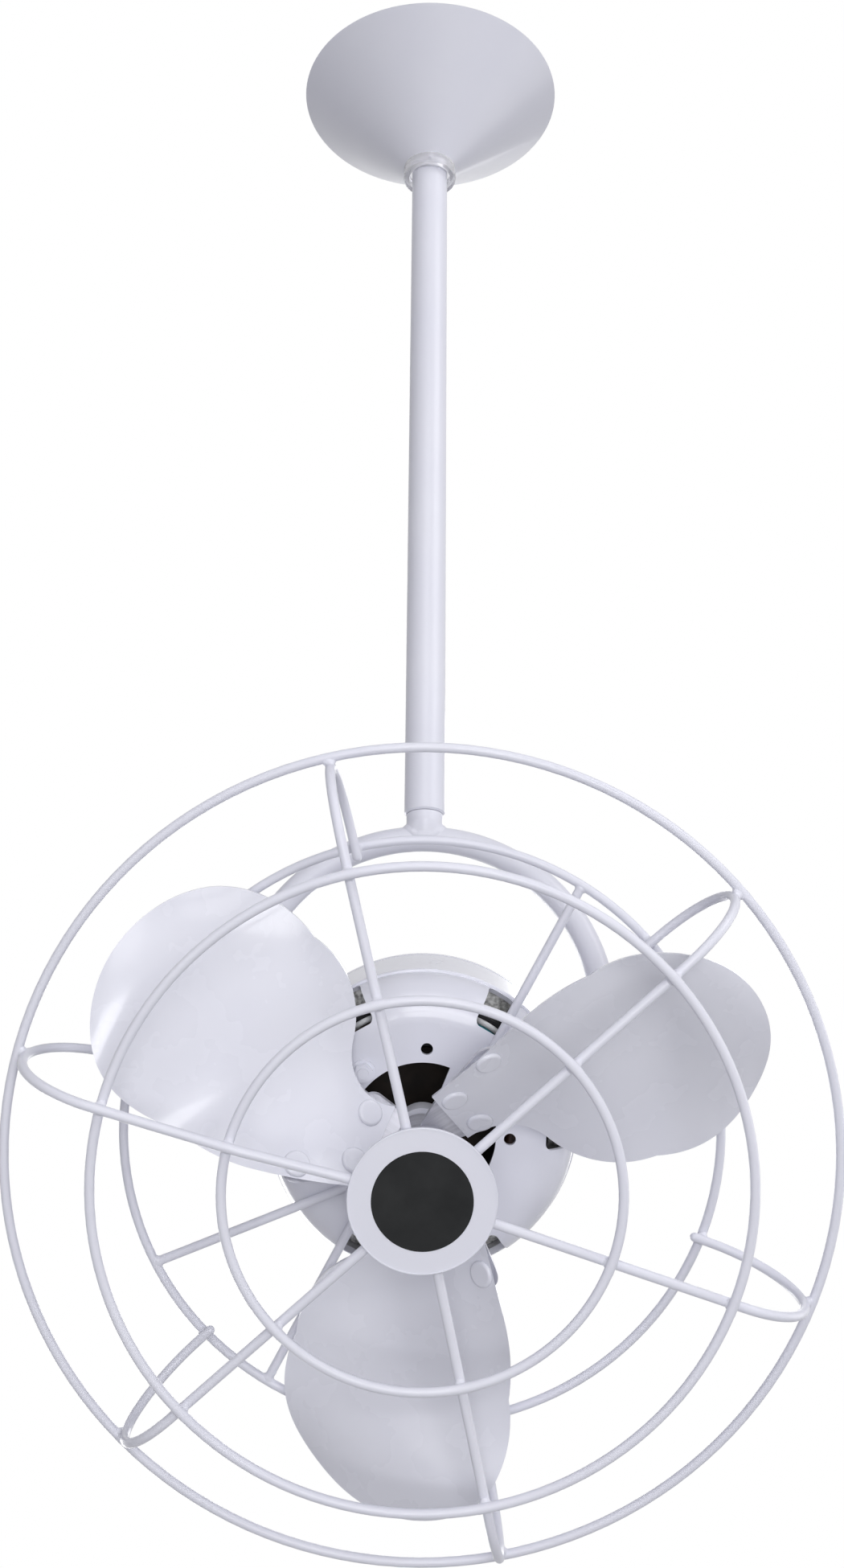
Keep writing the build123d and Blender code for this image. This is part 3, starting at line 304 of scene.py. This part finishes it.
# Each CAD node takes its slot's material, or one of its own
slot_finishes = {
    "white_steel": white_paint,
    "white_aluminium": cast_paint,
    "bare_aluminium": turned_aluminium,
    "bright_steel": bright_steel,
    "black_plastic": black_plastic,
    "clear_plastic": clear_plastic,
    "chrome": chrome,
    "laminations": laminations,
    "white_plastic": white_plastic,
    "copper": winding_wire,
    "black_enamel": black_enamel,
}
node_finishes = {
    "blade_1": blade_paint,
    "blade_2": blade_paint,
    "blade_3": blade_paint,
    "blade_rivets": blade_paint,
    "face_studs": white_paint,
    "face_washers": white_paint,
    "face_nuts": white_paint,
    "shell_screws": white_paint,
    "ceiling_bracket": zinc_steel,
    "ball_pin": zinc_steel,
    "stator_insulators": black_plastic,
    "rotor_core": painted_shade_core,
}
slot_of = {part["node"]: part["material_slot"] for part in frame["record"]["subparts"]}
for name, node in nodes.items():
    finish = node_finishes.get(name, slot_finishes[slot_of[name]])
    node.data.materials.clear()
    node.data.materials.append(finish)


# Helpers for the scene's own pieces
def on_head(radius, angle, ahead):
    # The place, and the outward and sideways directions, at an angle about the fan's axis
    turn = math.radians(angle)
    outward = right_axis * math.cos(turn) + up_axis * math.sin(turn)
    sideways = up_axis * math.cos(turn) - right_axis * math.sin(turn)
    return pivot + (outward * radius + ahead_axis * ahead) * mm, outward, sideways


def frame_at(centre, x_axis, y_axis, z_axis):
    # Puts a form that is made in millimetres at a place given in metres
    turn = Matrix((x_axis, y_axis, z_axis)).transposed().to_4x4()
    return Matrix.Translation(centre) @ turn @ Matrix.Scale(mm, 4)


def evaluated_mesh(name, data, modify=None):
    # The mesh that a mesh or curve gives with its modifiers
    holder = bpy.data.objects.new(name, data)
    bpy.context.scene.collection.objects.link(holder)
    if modify:
        modify(holder)
    seen = holder.evaluated_get(bpy.context.evaluated_depsgraph_get())
    mesh = bpy.data.meshes.new_from_object(seen)
    bpy.data.objects.remove(holder)
    return mesh


def grown(name, forms, voxel, passes):
    # One smooth skin round crossing rods and beads, in millimetres, as a weld's metal flows.
    # Each form is its kind, its centre and its half sizes.
    form = bmesh.new()
    for kind, place, size in forms:
        matrix = Matrix.Translation(place) @ Matrix.Diagonal((*size, 1))
        if kind == "bead":
            bmesh.ops.create_uvsphere(form, u_segments=16, v_segments=10, radius=1, matrix=matrix)
            continue
        if kind == "rod_x":
            matrix = matrix @ Matrix.Rotation(math.pi / 2, 4, "Y")
        if kind == "rod_y":
            matrix = matrix @ Matrix.Rotation(math.pi / 2, 4, "X")
        bmesh.ops.create_cone(form, cap_ends=True, segments=32, radius1=1, radius2=1, depth=2, matrix=matrix)
    mesh = bpy.data.meshes.new(name)
    form.to_mesh(mesh)
    form.free()

    def flow_together(holder):
        remesh = holder.modifiers.new("remesh", "REMESH")
        remesh.mode = "VOXEL"
        remesh.voxel_size = voxel
        smooth = holder.modifiers.new("smooth", "SMOOTH")
        smooth.iterations = passes
        smooth.factor = 0.5

    return evaluated_mesh(name, mesh, flow_together)


def joined(name, parts):
    form = bmesh.new()
    for mesh, matrix in parts:
        copy = mesh.copy()
        copy.transform(matrix)
        form.from_mesh(copy)
        bpy.data.meshes.remove(copy)
    mesh = bpy.data.meshes.new(name)
    form.to_mesh(mesh)
    form.free()
    return mesh


def add_piece(name, mesh, finish, body):
    for face in mesh.polygons:
        face.use_smooth = True
    mesh.materials.clear()
    mesh.materials.append(finish)
    piece = bpy.data.objects.new(name, mesh)
    bpy.context.scene.collection.objects.link(piece)
    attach(piece, body)
    return piece


# The cage's welds. Their wires lie slightly inside the real ones, so that only the fillets and
# the ribs' rounded tips show.
wire_radius = wire / 2
lap = wire + face_gap
half_lap = lap / 2
ring_step = lap / math.cos(rib_slope)
rib_rear = ring_rear_ahead + lap
weld_wire = wire_radius - 0.03
weld_voxel = 0.4
crossing_reach = 3.9
crossing_bead = (3.0, 3.0, 1.7)
rib_tip = 4.0
mount_tip_reach = 4.6
mount_leg_reach = 2.4
mount_leg_centre = 3.6
mount_bead = (3.0, 2.0, 2.3)
mount_bead_centre = 1.6

crossing_forms = [
    ("rod_x", (0, 0, half_lap), (crossing_reach, weld_wire, weld_wire)),
    ("rod_y", (0, 0, -half_lap), (weld_wire, crossing_reach, weld_wire)),
    ("bead", (0, 0, 0), crossing_bead),
]
rib_tip_form = ("bead", (0, -rib_tip, -half_lap), (wire_radius, wire_radius, wire_radius))
mount_end_forms = [
    ("rod_x", (0, 0, 0), (mount_tip_reach, weld_wire, weld_wire)),
    ("rod_y", (0, -mount_leg_centre, 0), (weld_wire, mount_leg_reach, weld_wire)),
    ("bead", (0, -mount_bead_centre, 0), mount_bead),
]
crossing = grown("crossing", crossing_forms, weld_voxel, passes=6)
rib_end = grown("rib_end", crossing_forms + [rib_tip_form], weld_voxel, passes=3)
mount_end = grown("mount_end", mount_end_forms, weld_voxel, passes=6)


def rib_ahead(radius):
    # How far ahead the rib's sloping front run is at a radius
    bend_end = rib_bend_centre + rib_bend_radius * math.sin(rib_slope)
    bend_ahead = rib_rear + rib_bend_radius * (1 + math.cos(rib_slope))
    return bend_ahead + (bend_end - radius) * math.tan(rib_slope)


def rib_welds(angle):
    # The small and front rings lie ahead of a rib, or behind it where it passes over them. The
    # middle ring lies outside the rib's bend, and the rear ring behind the rib's end.
    over = angle == over_rib
    rise = ring_step * (1.5 if over else 0.5)
    side = -1 if over else 1
    placed = []
    for radius in (ring_small_radius, ring_front_radius):
        centre, outward, sideways = on_head(radius, angle, rib_ahead(radius) + rise)
        along = outward * math.cos(rib_slope) - ahead_axis * math.sin(rib_slope)
        normal = ahead_axis * math.cos(rib_slope) + outward * math.sin(rib_slope)
        placed.append((crossing, frame_at(centre, sideways * side, along, normal * side)))
    middle_ring_touch = rib_bend_centre + rib_bend_radius + half_lap
    centre, outward, sideways = on_head(middle_ring_touch, angle, rib_rear + rib_bend_radius)
    placed.append((crossing, frame_at(centre, sideways, -ahead_axis, outward)))
    centre, outward, sideways = on_head(ring_rear_radius, angle, rib_rear - half_lap)
    placed.append((rib_end, frame_at(centre, -sideways, outward, -ahead_axis)))
    return placed


welds = []
for angle in rib_angles:
    welds += rib_welds(angle)
for mount in mount_angles:
    for spread_angle in (-mount_spread, mount_spread):
        centre, outward, sideways = on_head(ring_rear_radius, mount + spread_angle, ring_rear_ahead)
        welds.append((mount_end, frame_at(centre, sideways, outward, -ahead_axis)))
add_piece("cage_welds", joined("cage_welds", welds), white_paint, "head")

# The weld between the yoke's neck and its bow: a bead round the foot, flowing into both
pivot_height = round(pivot.z / mm, 3)
bow_centre = pivot_height + yoke_leg
foot_drop = yoke_tube_radius + neck_foot_rise
foot_top = bow_centre + yoke_bow_radius + foot_drop
foot_wide = neck_radius + neck_flare
foot_deep = yoke_tube_radius + neck_foot_side
inset = 0.1
edge_steps = 60
edge_beads = 48
edge_bead = 1.2
neck_reach = 2.2
bow_beads = 15
bow_bead_angle = 0.022
foot_slices = 12
foot_slice_reach = 0.6


def foot_size(part):
    # Half the foot's width and depth at a share of the way down its flare
    wide = neck_radius + (foot_wide - neck_radius) * part
    deep = neck_radius + (foot_deep - neck_radius) * part
    return wide, deep


def foot_edge(turn):
    # Where the flared foot meets the tube, found by stepping down the flare
    for step in range(edge_steps):
        part = step / (edge_steps - 1)
        wide, deep = foot_size(part)
        across = wide * math.cos(turn)
        aside = deep * math.sin(turn)
        height = foot_top - foot_drop * part
        ring_offset = math.hypot(across, height - bow_centre) - yoke_bow_radius
        if math.hypot(ring_offset, aside) < yoke_tube_radius:
            break
    return Vector((across, aside, height))


def neck_forms():
    forms = []
    for step in range(edge_beads):
        place = foot_edge(math.tau * step / edge_beads)
        forms.append(("bead", place, (edge_bead, edge_bead, edge_bead)))
    neck = neck_radius - inset
    forms.append(("rod_z", (0, 0, foot_top + neck_reach), (neck, neck, neck_reach)))
    tube = yoke_tube_radius - inset
    for step in range(bow_beads):
        lean = (step - bow_beads // 2) * bow_bead_angle
        centre = (yoke_bow_radius * math.sin(lean), 0, bow_centre + yoke_bow_radius * math.cos(lean))
        forms.append(("bead", centre, (tube, tube, tube)))
    for step in range(foot_slices):
        part = step / (foot_slices - 1)
        wide, deep = foot_size(part)
        place = (0, 0, foot_top - foot_drop * part)
        forms.append(("rod_z", place, (wide - inset, deep - inset, foot_slice_reach)))
    return forms


neck_weld = grown("neck_weld", neck_forms(), voxel=0.55, passes=14)
neck_weld.transform(Matrix.Scale(mm, 4))
add_piece("neck_weld", neck_weld, white_paint, "yoke")

# The coil heads, in place of the plain rings of the windings
coil_base_gap = 0.1
coil_half_height = 5.5
coil_half_width = (winding_outer - winding_inner) / 2
coil_middle = (winding_inner + winding_outer) / 2
coil_count = 12
coil_hump = 0.4
gap_width_share = 0.80
gap_height_share = 0.72
full_share = 0.99
wire_ridges = 10
ridge_share = 0.018
corner_fill = 0.8
round_steps = 288
section_steps = 40


def filled_out(value):
    # Fills a circle's cosine or sine out towards a square with round corners
    return math.copysign(abs(value) ** corner_fill, value)


def coil_head(form, base, way):
    # The coils side by side, each a bundle of wires with its hump and its gaps
    rows = []
    for i in range(round_steps):
        angle = 360 * i / round_steps
        lobe = abs(math.sin(math.radians(coil_count / 2 * angle))) ** coil_hump
        half_width = coil_half_width * (gap_width_share + (full_share - gap_width_share) * lobe)
        half_height = coil_half_height * (gap_height_share + (full_share - gap_height_share) * lobe)
        row = []
        for j in range(section_steps):
            turn = math.tau * j / section_steps
            ridge = 0.98 + ridge_share * math.cos(wire_ridges * turn)
            radius = coil_middle + half_width * ridge * filled_out(math.cos(turn))
            rise = half_height * (1 + ridge * filled_out(math.sin(turn)))
            row.append(form.verts.new(on_head(radius, angle, base + way * rise)[0]))
        rows.append(row)
    for i in range(round_steps):
        for j in range(section_steps):
            corners = (rows[i][j], rows[i - 1][j], rows[i - 1][j - 1], rows[i][j - 1])
            form.faces.new(corners if way > 0 else corners[::-1])


coils_mesh = bpy.data.meshes.new("coil_heads")
coils_form = bmesh.new()
coil_head(coils_form, core_front + coil_base_gap, 1)
coil_head(coils_form, core_back - coil_base_gap, -1)
bmesh.ops.recalc_face_normals(coils_form, faces=coils_form.faces)
coils_form.to_mesh(coils_mesh)
coils_form.free()
coils = add_piece("coil_heads", coils_mesh, winding_wire, "head")
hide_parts("stator_windings")

# Sleeved leads. Each comes up out of the coils and goes back between them, past points given
# by the step from its radius, the turn from its angle, and the way ahead.
lead_route = ((-2.0, -10, 25), (-0.5, -6, 33), (0, 0, 34.5), (-0.5, 6, 33), (-2.0, 10, 25))


def lead(name, finish, radius, angle, sleeve_radius):
    curve = bpy.data.curves.new(name, "CURVE")
    curve.dimensions = "3D"
    curve.bevel_depth = sleeve_radius * mm
    curve.bevel_resolution = 6
    curve.use_fill_caps = True
    line = curve.splines.new("NURBS")
    line.points.add(len(lead_route) - 1)
    for point, (step, turn, ahead) in zip(line.points, lead_route):
        point.co = (*on_head(radius + step, angle + turn, ahead)[0], 1)
    line.order_u = 3
    line.use_endpoint_u = True
    add_piece(name, evaluated_mesh(name, curve), finish, "head")


lead("lead_right", lead_sleeve, radius=58.0, angle=57.6, sleeve_radius=1.4)
lead("lead_right_tinted", tinted_sleeve, radius=55.3, angle=57.7, sleeve_radius=1.2)
lead("lead_left", lead_sleeve, radius=58.0, angle=118.5, sleeve_radius=1.4)


# Room
def seen_directly(tree):
    # 1 for rays from the camera and for mirrored and see-through rays, 0 for the light itself
    path = tree.nodes.new("ShaderNodeLightPath")
    camera_ray = path.outputs["Is Camera Ray"]
    glossy_ray = path.outputs["Is Glossy Ray"]
    clear_ray = path.outputs["Is Transmission Ray"]
    seen = worked_out(tree, "ShaderNodeMath", "MAXIMUM", camera_ray, glossy_ray)
    return worked_out(tree, "ShaderNodeMath", "MAXIMUM", seen.outputs[0], clear_ray).outputs[0]


def mixed(tree, share, first, second):
    mix = tree.nodes.new("ShaderNodeMixShader")
    tree.links.new(share, mix.inputs["Fac"])
    tree.links.new(first, mix.inputs[1])
    tree.links.new(second, mix.inputs[2])
    return mix.outputs[0]


def background(tree, colour, strength):
    node = tree.nodes.new("ShaderNodeBackground")
    node.inputs["Color"].default_value = (*colour, 1)
    node.inputs["Strength"].default_value = strength
    return node.outputs[0]


def pale_sheet(name, tone, glow_share, glow_strength):
    # Grey to the lamps, and nearly white where the camera, metal or clear plastic sees it
    material, tree, shader = shader_of(name)
    other_tone = [part * 1.03 for part in tone]
    mottle = noise(tree, place_of(tree), scale=3, detail=2)
    tree.links.new(blend_colours(tree, mottle, tone, other_tone), shader.inputs["Base Color"])
    shader.inputs["Roughness"].default_value = 0.9
    shader.inputs["Specular IOR Level"].default_value = 0.0
    glow = tree.nodes.new("ShaderNodeEmission")
    glow.inputs["Strength"].default_value = glow_strength
    share = worked_out(tree, "ShaderNodeMath", "MULTIPLY", seen_directly(tree), glow_share)
    surface = mixed(tree, share.outputs[0], shader.outputs["BSDF"], glow.outputs[0])
    tree.links.new(surface, tree.nodes["Material Output"].inputs["Surface"])
    return material


# The floor ends just below the frame of the photograph's view
floor_height = -1.35
floor_reach = 8.3
floor_mesh = bpy.data.meshes.new("floor")
floor_form = bmesh.new()
floor_place = Matrix.Translation((0, 0, floor_height))
bmesh.ops.create_grid(floor_form, x_segments=2, y_segments=2, size=floor_reach, matrix=floor_place)
floor_form.to_mesh(floor_mesh)
floor_form.free()
floor = bpy.data.objects.new("floor", floor_mesh)
floor.data.materials.append(pale_sheet("floor", (0.45, 0.45, 0.455), glow_share=0.88, glow_strength=0.94))
bpy.context.scene.collection.objects.link(floor)

world = bpy.data.worlds.new("world")
bpy.context.scene.world = world
world.use_nodes = True
world_tree = world.node_tree
world_tree.nodes.clear()
soft = background(world_tree, (0.86, 0.85, 1.0), 0.18)
white = background(world_tree, (1, 1, 1), 1.0)
world_output = world_tree.nodes.new("ShaderNodeOutputWorld")
world_surface = mixed(world_tree, seen_directly(world_tree), soft, white)
world_tree.links.new(world_surface, world_output.inputs["Surface"])


def lamp(name, place, target, size, power):
    data = bpy.data.lights.new(name, "AREA")
    data.shape = "SQUARE"
    data.size = size
    data.energy = power
    light = bpy.data.objects.new(name, data)
    light.location = place
    light.rotation_mode = "QUATERNION"
    light.rotation_quaternion = (Vector(target) - Vector(place)).to_track_quat("-Z", "Y")
    bpy.context.scene.collection.objects.link(light)


lamp("low_front", (0.22, -1.9, -0.95), target=(0, 0, -0.45), size=0.9, power=18)
lamp("high_front", (0, -1.6, 0.3), target=(0, 0, -0.5), size=0.9, power=6)
lamp("high_right", (1.2, -0.8, 0.5), target=(0, 0, -0.5), size=0.9, power=9)
lamp("left", (-1.25, -1.5, -0.75), target=(0, 0, -0.5), size=0.9, power=3)
lamp("right", (1.4, 0.3, -0.6), target=(0, 0, -0.4), size=0.9, power=4)
lamp("back_right", (0.45, 2.1, 0.0), target=(0, 0, -0.5), size=1.0, power=8)
lamp("back_left", (-0.8, 1.9, -0.8), target=(0, 0, -0.5), size=1.0, power=11)

bpy.context.scene.view_settings.view_transform = "Standard"
